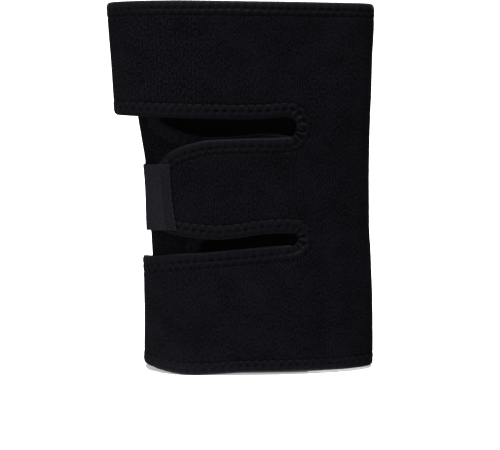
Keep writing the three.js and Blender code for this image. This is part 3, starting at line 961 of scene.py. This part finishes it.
def thread(name, lines_mm):
    """Turn one or more lines of points into round thread."""
    line = bpy.data.curves.new(name, "CURVE")
    line.dimensions = "3D"
    line.bevel_depth = THREAD_RADIUS * MM
    line.bevel_resolution = 1
    line.use_fill_caps = True
    for points in lines_mm:
        spline = line.splines.new("POLY")
        spline.points.add(len(points) - 1)
        spline.points.foreach_set("co", np.column_stack([points * MM, np.ones(len(points))]).ravel())
    piece = bpy.data.objects.new(name, line)
    bpy.context.scene.collection.objects.link(piece)
    deselect_all()
    piece.select_set(True)
    bpy.context.view_layer.objects.active = piece
    bpy.ops.object.convert(target="MESH")
    bpy.ops.object.shade_smooth_by_angle(angle=math.radians(50))
    return bpy.context.object


print("thread:", 2 * THREAD_RADIUS, "mm thick")

# %% Zigzag through the tape
FACE = SECTION[SECTION[:, 1] >= 0][::-1]
POINTS_A_SWING = 4
PAST_TAPE = 0.9
# How deep the thread lies below the tape's face, from the pit at 0 to the panel at 1.
SWING_SHARE = [0, 0.2, 0.8, 0.9, 1]
SUNK_MM = [0.95, 0.15, 0.1, 0.2, 0.2]


def zigzag(route):
    """Points of the thread that sews a tape down: from each pit over the edge to the panel and back."""
    phase = stitch_phase(route)
    swings = int(phase[-1] * 2)
    stitch = np.arange(swings * POINTS_A_SWING + 1) / (2 * POINTS_A_SWING)
    swing = np.abs(stitch - np.rint(stitch)) * 2
    spot = np.interp(stitch, phase, np.arange(len(phase)))
    keys = ("x", "z", "angle", "into_x", "into_z", "row", "width")
    spots = {key: np.interp(spot, np.arange(len(phase)), route[key]) for key in keys}
    inwards = spots["row"] + (spots["width"] + PAST_TAPE - spots["row"]) * swing
    surface = np.interp(inwards * TAPE_WIDTH / spots["width"], FACE[:, 0], FACE[:, 1])
    lift = surface - np.interp(swing, SWING_SHARE, SUNK_MM)
    return on_tape({**spots, "turn": route["turn"]}, inwards[:, None], lift[:, None])[:, 0]


seam_thread = thread("seam_thread", [zigzag(route) for route in ROUTES.values()])
print("thread triangles:", triangles(seam_thread))

# %% [markdown]
# ## Hook tabs
# A stiff strip of woven hook tape is sewn to the end of each strap. It passes over the strap's end and lies
# on the layer below, so its path leaves one roll of the sheet and eases down to the next. A flat strip could
# be shrinkwrapped onto the sheet, but it would sink into the step at the strap's end. A blend of the two
# rolls bridges the step. The middle tab shows at the front; the other two lie at the back.

# %% Strips of hook tape
TAB_THICKNESS = 0.8
TAB_HEIGHT = 49.5
TAB_ROWS = 81
TAB_STATIONS = 121
ON_STRAP = 2.8
ON_LAYER = 2.2
# A tilted tab turns within this share of its length, about this share of its tilt.
TILT_RUN = 0.35
TILT_ABOUT = 0.6


def tab_point(angle, z, out, blend):
    """Point of a tab: on the strap's face at first, then eased down onto the layer below."""
    drop = ease(angle, *blend)[..., None]
    upper = wrap(angle, z, ON_STRAP + out + soft_wave(angle, z))
    lower = wrap(angle - 360, z, ON_LAYER + out + soft_wave(angle - 360, z))
    return upper * (1 - drop) + lower * drop


def hook_tab(name, low, edge, blend, stop, tilt=0.0):
    """Make a strip of hook tape from an edge that may lean with height to a stop, both turn angles."""
    rows = low + np.linspace(0, TAB_HEIGHT, TAB_ROWS)
    begin = edge(rows)
    share = np.linspace(0, 1, TAB_STATIONS)
    angle = begin[None, :] + (stop - begin[None, :]) * share[:, None]
    z = rows[None, :] + tilt * (TILT_ABOUT - ease(share, 0.0, TILT_RUN))[:, None]
    tab, station, place = flat_cloth(name, len(share), len(rows))
    points = tab_point(angle, z, 0.0, blend)
    run = along_run(points[:, len(rows) // 2])
    shape_cloth(tab, points[station, place], np.stack([run[station], rows[place]], axis=-1))
    face_outwards(tab, (tab_point(angle, z, 1.0, blend) - points)[station, place])
    apply_solidify(tab, TAB_THICKNESS, 0)
    return tab, run[-1]


print("hook tape:", TAB_HEIGHT, "mm wide")

# %% Where the tabs lie
TAB_STITCH = 4.8
TAB_PUCKER = 0.3
MIDDLE_TAB_LOW = 109.8
MIDDLE_TAB_TILT = 1.2
UPPER_TAB_MIDDLE = 238.0
LOWER_TAB_MIDDLE = 46.0
# Turn angles where a tab starts, where it comes down off its strap, and where it stops.
MIDDLE_TAB_DOWN = (STRAP_END + 3, 444.0)
MIDDLE_TAB_STOP = 512.0
BAND_TAB_START = BAND_END - 7
BAND_TAB_DOWN = (BAND_END + 1, BAND_END + 14)
BAND_TAB_STOP = BAND_END + 28
middle_tab_lean = curve_through([0, 25, TAB_HEIGHT], [-47.6, -51.3, -52.8])


def middle_tab_edge(z):
    """Turn angle of the middle tab's right edge, which leans a little and puckers at each stitch."""
    up = z - MIDDLE_TAB_LOW
    x = middle_tab_lean(up)
    return angle_at(x + TAB_PUCKER * np.sin(2 * np.pi * up / TAB_STITCH), z, 1)


def band_tab_edge(z):
    """Turn angle where the upper and lower tabs start, on the backs of their straps."""
    return np.full_like(z, BAND_TAB_START)


def band_tab(middle):
    """Place of the upper or lower tab, round the middle height of its strap."""
    low = middle - TAB_HEIGHT / 2
    return {"low": low, "edge": band_tab_edge, "blend": BAND_TAB_DOWN, "stop": BAND_TAB_STOP}


TAB_PLACES = {
    "middle_hook_tab": {
        "low": MIDDLE_TAB_LOW,
        "edge": middle_tab_edge,
        "blend": MIDDLE_TAB_DOWN,
        "stop": MIDDLE_TAB_STOP,
        "tilt": MIDDLE_TAB_TILT,
    },
    "upper_hook_tab": band_tab(UPPER_TAB_MIDDLE),
    "lower_hook_tab": band_tab(LOWER_TAB_MIDDLE),
}
TABS = {name: hook_tab(name.replace("tab", "strip"), **place) for name, place in TAB_PLACES.items()}
for name, (tab, length) in TABS.items():
    print(f"{name}: {length:.1f} mm long")

# %% [markdown]
# ### Stitches of the tabs
# Each tab is sewn down along its edge by two zigzags that cross into a row of diamonds. They are charcoal,
# like the tape, and show as a raised pattern. They are thread again, laid on the tab's face, because a
# bumped texture would look flat from the side.

# %% Stitches along the tabs
SEAM_WIDTH = 6.6
SEAM_INSET = 0.9
SEAM_END = 1.2
SEAM_PROUD = 0.05
POINTS_A_DIAMOND = 12


def tab_seam(place, flip):
    """Zigzag up a tab's sewn edge. Two of them, one flipped, cross into a row of diamonds."""
    low = place["low"]
    z = np.arange(low + SEAM_END, low + TAB_HEIGHT - SEAM_END, TAB_STITCH / POINTS_A_DIAMOND)
    swing = np.abs(((z - low) / TAB_STITCH + 0.5 * flip) % 1 * 2 - 1)
    angle = np.interp(run_at(place["edge"](z)) + SEAM_INSET + SEAM_WIDTH * swing, RUN_MM, RUN_ANGLES)
    return tab_point(angle, z, TAB_THICKNESS / 2 + SEAM_PROUD, place["blend"])


tab_thread = thread(
    "tab_thread",
    [tab_seam(place, flip) for place in TAB_PLACES.values() for flip in (0, 1)],
)
print("tab stitches:", int(TAB_HEIGHT / TAB_STITCH), "on each tab")

# %% [markdown]
# ## Finishes
# All the cloths are near black, so what tells them apart is how they take the light: the brushed face of the
# neoprene is dull and grainy, the tape is smoother with a soft sheen on its rolled edge, and the woven hook
# tape is a shade lighter. Pictures of cloth could be wrapped on, but nodes need no file and repeat nowhere.
# Each pattern reads the piece's own UV map, which is in metres of flat cloth.

# %% Helpers for the finishes
# A wave texture at scale 1 repeats every 2 pi / 20, so its scale is this over the spacing in millimetres.
WAVE_PERIOD = 0.314


def linear(hex_colour):
    """Turn an sRGB hex colour into the linear values that nodes work in."""
    parts = [int(hex_colour[i : i + 2], 16) / 255 for i in (1, 3, 5)]
    return tuple(p / 12.92 if p <= 0.04045 else ((p + 0.055) / 1.055) ** 2.4 for p in parts) + (1.0,)


def new_finish(name, shader, coordinates="UV"):
    """Start a finish and return it with its tree, its shader and a place on the piece in millimetres."""
    finish = bpy.data.materials.new(name)
    finish.use_nodes = True
    tree = finish.node_tree
    bsdf = tree.nodes["Principled BSDF"]
    for socket, value in shader.items():
        bsdf.inputs[socket].default_value = value
    metres = add_node(tree, "ShaderNodeTexCoord").outputs[coordinates]
    to_mm = (1000, 1000, 1000)
    place = add_node(tree, "ShaderNodeVectorMath", {0: metres, 1: to_mm}, operation="MULTIPLY")
    return finish, tree, bsdf, place.outputs[0]


def wear(piece, finish):
    """Give a piece its finish."""
    piece.data.materials.clear()
    piece.data.materials.append(finish)


print("near black:", [round(v, 4) for v in linear("#131217")[:3]])

# %% [markdown]
# ### Brushed neoprene face
# The face is a nylon loop knit that has been brushed, so that hooks catch in it. The eye sees a dull black
# with a fine random grain that runs a little along the wales, up and down, and slow patches where the nap
# lies another way. The loops are about 0.5 mm; the grain is drawn at 0.95 mm and the wales at 2 mm, so that
# they show. Noise alone would look like felt, so a faint wave under it gives the wales.

# %% Pattern of the brushed face
GRAIN_MM = 0.95
WALE_MM = 2.0
PATCH_MM = 22
NAP_MM = 9
nap, tree, bsdf, cloth = new_finish(
    "brushed_neoprene",
    {"Roughness": 0.92, "Specular IOR Level": 0.03, "Sheen Weight": 0.003, "Sheen Roughness": 0.5},
)
upright = add_node(tree, "ShaderNodeMapping", {"Vector": cloth, "Scale": (1 / GRAIN_MM, 0.5 / GRAIN_MM, 1)})
grain = add_node(
    tree,
    "ShaderNodeTexNoise",
    {"Vector": upright.outputs[0], "Scale": 1.0, "Detail": 2.0, "Roughness": 0.6},
    noise_dimensions="2D",
)
patches = add_node(
    tree,
    "ShaderNodeTexNoise",
    {"Vector": cloth, "Scale": 1 / PATCH_MM, "Detail": 2.0},
    noise_dimensions="2D",
)
brushed = add_node(
    tree,
    "ShaderNodeTexNoise",
    {"Vector": cloth, "Scale": 1 / NAP_MM, "Detail": 1.0},
    noise_dimensions="2D",
)
wales = add_node(
    tree,
    "ShaderNodeTexWave",
    {"Vector": cloth, "Scale": WAVE_PERIOD / WALE_MM, "Distortion": 1.5, "Detail": 1.0, "Detail Scale": 0.6},
)
print("grain:", GRAIN_MM, "mm, wales:", WALE_MM, "mm")

# %% Colour and relief of the brushed face
PATCH_TONE = 0.2
PATCH_SHIFT = -0.12
WALE_TONE = 0.13
WALE_RELIEF = 0.35
NAP_RELIEF_MM = 0.5
mottle = add_node(
    tree,
    "ShaderNodeMath",
    {0: patches.outputs["Fac"], 1: PATCH_TONE, 2: PATCH_SHIFT},
    operation="MULTIPLY_ADD",
)
rib = add_node(
    tree,
    "ShaderNodeMath",
    {0: wales.outputs["Fac"], 1: brushed.outputs["Fac"]},
    operation="MULTIPLY",
)
ribbed = add_node(
    tree,
    "ShaderNodeMath",
    {0: rib.outputs[0], 1: WALE_TONE, 2: grain.outputs["Fac"]},
    operation="MULTIPLY_ADD",
)
tone = add_node(tree, "ShaderNodeMath", {0: ribbed.outputs[0], 1: mottle.outputs[0]}, operation="ADD")
ramp = add_node(
    tree,
    "ShaderNodeValToRGB",
    {"Fac": tone.outputs[0]},
    stops=((0.29, linear("#030304")), (0.78, linear("#1b1a21"))),
)
relief = add_node(
    tree,
    "ShaderNodeMath",
    {0: wales.outputs["Fac"], 1: WALE_RELIEF, 2: grain.outputs["Fac"]},
    operation="MULTIPLY_ADD",
)
bump = add_node(
    tree,
    "ShaderNodeBump",
    {"Height": relief.outputs[0], "Strength": 0.7, "Distance": NAP_RELIEF_MM * MM},
)
tree.links.new(ramp.outputs["Color"], bsdf.inputs["Base Color"])
tree.links.new(bump.outputs["Normal"], bsdf.inputs["Normal"])
neoprene.material_slots[0].material = nap
print("finish:", nap.name)

# %% [markdown]
# ### Jersey lining
# The side next to the leg is a smooth nylon jersey. Its own black is deepened to a black darker than the
# brushed face, which is painted shade for the hollow of the sleeve seen through the slots. Its courses run
# round the leg, about 0.4 mm apart and drawn at 1 mm, as a wave across the flat cloth. It shows only as the
# dark inside of the sleeve, so it needs no more than that.

# %% Jersey lining
COURSE_MM = 1.0
COURSE_RELIEF_MM = 0.2
jersey, tree, bsdf, cloth = new_finish("jersey_lining", {"Roughness": 0.9, "Specular IOR Level": 0.03})
courses = add_node(
    tree,
    "ShaderNodeTexWave",
    {"Vector": cloth, "Scale": WAVE_PERIOD / COURSE_MM, "Distortion": 1.0, "Detail": 1.0},
    bands_direction="Y",
)
# Both stops are darker than black jersey: painted shade for the hollow of the sleeve.
ramp = add_node(
    tree,
    "ShaderNodeValToRGB",
    {"Fac": courses.outputs["Fac"]},
    stops=((0.0, linear("#020202")), (1.0, linear("#060606"))),
)
bump = add_node(
    tree,
    "ShaderNodeBump",
    {"Height": courses.outputs["Fac"], "Strength": 0.3, "Distance": COURSE_RELIEF_MM * MM},
)
tree.links.new(ramp.outputs["Color"], bsdf.inputs["Base Color"])
tree.links.new(bump.outputs["Normal"], bsdf.inputs["Normal"])
neoprene.material_slots[1].material = jersey
print("finish:", jersey.name)

# %% [markdown]
# ### Binding tape
# The tape is a smooth stretch knit of nylon. Its ribs run along it, about 0.4 mm apart and drawn at 0.9 mm,
# and it shines a little more than the nap, so its rolled edge draws a thin light line. Ribs alone would look
# machined, so a fine noise roughens them.

# %% Binding tape
RIB_MM = 0.9
TUFTS_A_CM = 9
RIB_TONE = 0.25
RIB_RELIEF_MM = 0.3
knit, tree, bsdf, cloth = new_finish(
    "stretch_binding_tape",
    {"Roughness": 0.6, "Specular IOR Level": 0.05, "Sheen Weight": 0.004, "Sheen Roughness": 0.4},
)
ribs = add_node(
    tree,
    "ShaderNodeTexWave",
    {"Vector": cloth, "Scale": WAVE_PERIOD / RIB_MM, "Distortion": 1.0, "Detail": 1.0},
    bands_direction="Y",
)
fuzz = add_node(
    tree,
    "ShaderNodeTexNoise",
    {"Vector": cloth, "Scale": TUFTS_A_CM / 10, "Detail": 3.0, "Roughness": 0.6},
    noise_dimensions="2D",
)
tone = add_node(
    tree,
    "ShaderNodeMath",
    {0: ribs.outputs["Fac"], 1: RIB_TONE, 2: fuzz.outputs["Fac"]},
    operation="MULTIPLY_ADD",
)
ramp = add_node(
    tree,
    "ShaderNodeValToRGB",
    {"Fac": tone.outputs[0]},
    stops=((0.3, linear("#09090b")), (0.9, linear("#15141b"))),
)
bump = add_node(
    tree,
    "ShaderNodeBump",
    {"Height": tone.outputs[0], "Strength": 0.5, "Distance": RIB_RELIEF_MM * MM},
)
tree.links.new(ramp.outputs["Color"], bsdf.inputs["Base Color"])
tree.links.new(bump.outputs["Normal"], bsdf.inputs["Normal"])
for tape in TAPES.values():
    wear(tape, knit)
print("finish:", knit.name)

# %% [markdown]
# ### Woven hook tape
# The back of hook tape is a plain weave of nylon, tight and flat, and lighter than the brushed face. Warp and
# weft cross about every 0.6 mm; they are drawn at 1.2 mm so that the weave shows. Two waves at right angles,
# multiplied, give the crossings, and a noise the fuzz of worn yarn.

# %% Woven hook tape
YARN_MM = 1.2
FUZZ_MM = 2.0
CROSSING_TONE = 0.4
WEAVE_RELIEF_MM = 0.2
weave, tree, bsdf, cloth = new_finish("woven_hook_tape", {"Roughness": 0.7, "Specular IOR Level": 0.08})
yarn = {"Vector": cloth, "Scale": WAVE_PERIOD / YARN_MM}
warp = add_node(tree, "ShaderNodeTexWave", yarn)
weft = add_node(tree, "ShaderNodeTexWave", yarn, bands_direction="Y")
crossing = add_node(
    tree,
    "ShaderNodeMath",
    {0: warp.outputs["Fac"], 1: weft.outputs["Fac"]},
    operation="MULTIPLY",
)
fuzz = add_node(
    tree,
    "ShaderNodeTexNoise",
    {"Vector": cloth, "Scale": 1 / FUZZ_MM, "Detail": 4.0},
    noise_dimensions="2D",
)
tone = add_node(
    tree,
    "ShaderNodeMath",
    {0: crossing.outputs[0], 1: CROSSING_TONE, 2: fuzz.outputs["Fac"]},
    operation="MULTIPLY_ADD",
)
ramp = add_node(
    tree,
    "ShaderNodeValToRGB",
    {"Fac": tone.outputs[0]},
    stops=((0.3, linear("#131217")), (1.0, linear("#25232b"))),
)
bump = add_node(
    tree,
    "ShaderNodeBump",
    {"Height": tone.outputs[0], "Strength": 0.4, "Distance": WEAVE_RELIEF_MM * MM},
)
tree.links.new(ramp.outputs["Color"], bsdf.inputs["Base Color"])
tree.links.new(bump.outputs["Normal"], bsdf.inputs["Normal"])
for tab, _ in TABS.values():
    wear(tab, weave)
print("finish:", weave.name)

# %% [markdown]
# ### Sewing thread
# Bonded polyester thread is twisted, and dull once it is sewn in. The twist is a fine slanted wave, about
# 0.4 mm on the real thread and drawn at 0.8 mm. A mesh made from a curve has no UV map of flat cloth, so the
# wave reads Object coordinates. The seams are sewn in black, and the tabs in charcoal to match their tape.

# %% Sewing thread
TWIST_MM = 0.8


def thread_finish(name, roughness, gloss, dark, light):
    """Mix the finish of a twisted thread between two colours."""
    shader = {"Roughness": roughness, "Specular IOR Level": gloss}
    finish, tree, bsdf, place = new_finish(name, shader, "Object")
    strands = add_node(
        tree,
        "ShaderNodeTexWave",
        {"Vector": place, "Scale": WAVE_PERIOD / TWIST_MM},
        bands_direction="DIAGONAL",
    )
    ramp = add_node(
        tree,
        "ShaderNodeValToRGB",
        {"Fac": strands.outputs["Fac"]},
        stops=((0.0, linear(dark)), (1.0, linear(light))),
    )
    tree.links.new(ramp.outputs["Color"], bsdf.inputs["Base Color"])
    return finish


wear(seam_thread, thread_finish("bonded_thread", 0.7, 0.02, "#08080a", "#0f0e13"))
wear(tab_thread, thread_finish("charcoal_thread", 0.6, 0.05, "#121116", "#1d1b22"))
print("finishes:", [piece.data.materials[0].name for piece in (seam_thread, tab_thread)])

# %% [markdown]
# ### Studio paper
# The cove is matt white paper, so bright that it burns out in the picture. Lamps strong enough for that
# would wash out the black cloth, so the paper glows a little by itself. Rolled paper is never quite even, so
# it has faint clouds.

# %% Studio paper
CLOUDS_A_METRE = 6
PAPER_GLOW = 0.4
paper, tree, bsdf, place = new_finish(
    "white_paper",
    {
        "Roughness": 0.95,
        "Specular IOR Level": 0.1,
        "Emission Color": (1, 1, 1, 1),
        "Emission Strength": PAPER_GLOW,
    },
    "Object",
)
clouds = add_node(
    tree,
    "ShaderNodeTexNoise",
    {"Vector": place, "Scale": CLOUDS_A_METRE / 1000, "Detail": 2.0},
)
ramp = add_node(
    tree,
    "ShaderNodeValToRGB",
    {"Fac": clouds.outputs["Fac"]},
    stops=((0.0, linear("#f4f4f4")), (1.0, linear("#f8f8f8"))),
)
tree.links.new(ramp.outputs["Color"], bsdf.inputs["Base Color"])
wear(cove, paper)
print("finish:", paper.name)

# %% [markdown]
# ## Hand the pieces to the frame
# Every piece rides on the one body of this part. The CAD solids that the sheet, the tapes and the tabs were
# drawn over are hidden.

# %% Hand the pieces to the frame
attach(neoprene, "root")
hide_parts("neoprene_wrap")
for name, tape in TAPES.items():
    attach(tape, "root")
    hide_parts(name)
for piece, finish_slot in ((seam_thread, "binding"), (tab_thread, "hook_tape")):
    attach(piece, "root")
for name, (tab, length) in TABS.items():
    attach(tab, "root")
    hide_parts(name)

# %% Sizes of the visual box against the CAD box
visual_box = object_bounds()
boxes = {"cad": [list(corner) for corner in cad_box], "visual": [list(corner) for corner in visual_box]}
grown_mm = np.abs(np.subtract(boxes["visual"], boxes["cad"])).max(axis=0) / MM
print("the visual box departs from the CAD box by, mm:", np.round(grown_mm, 2))
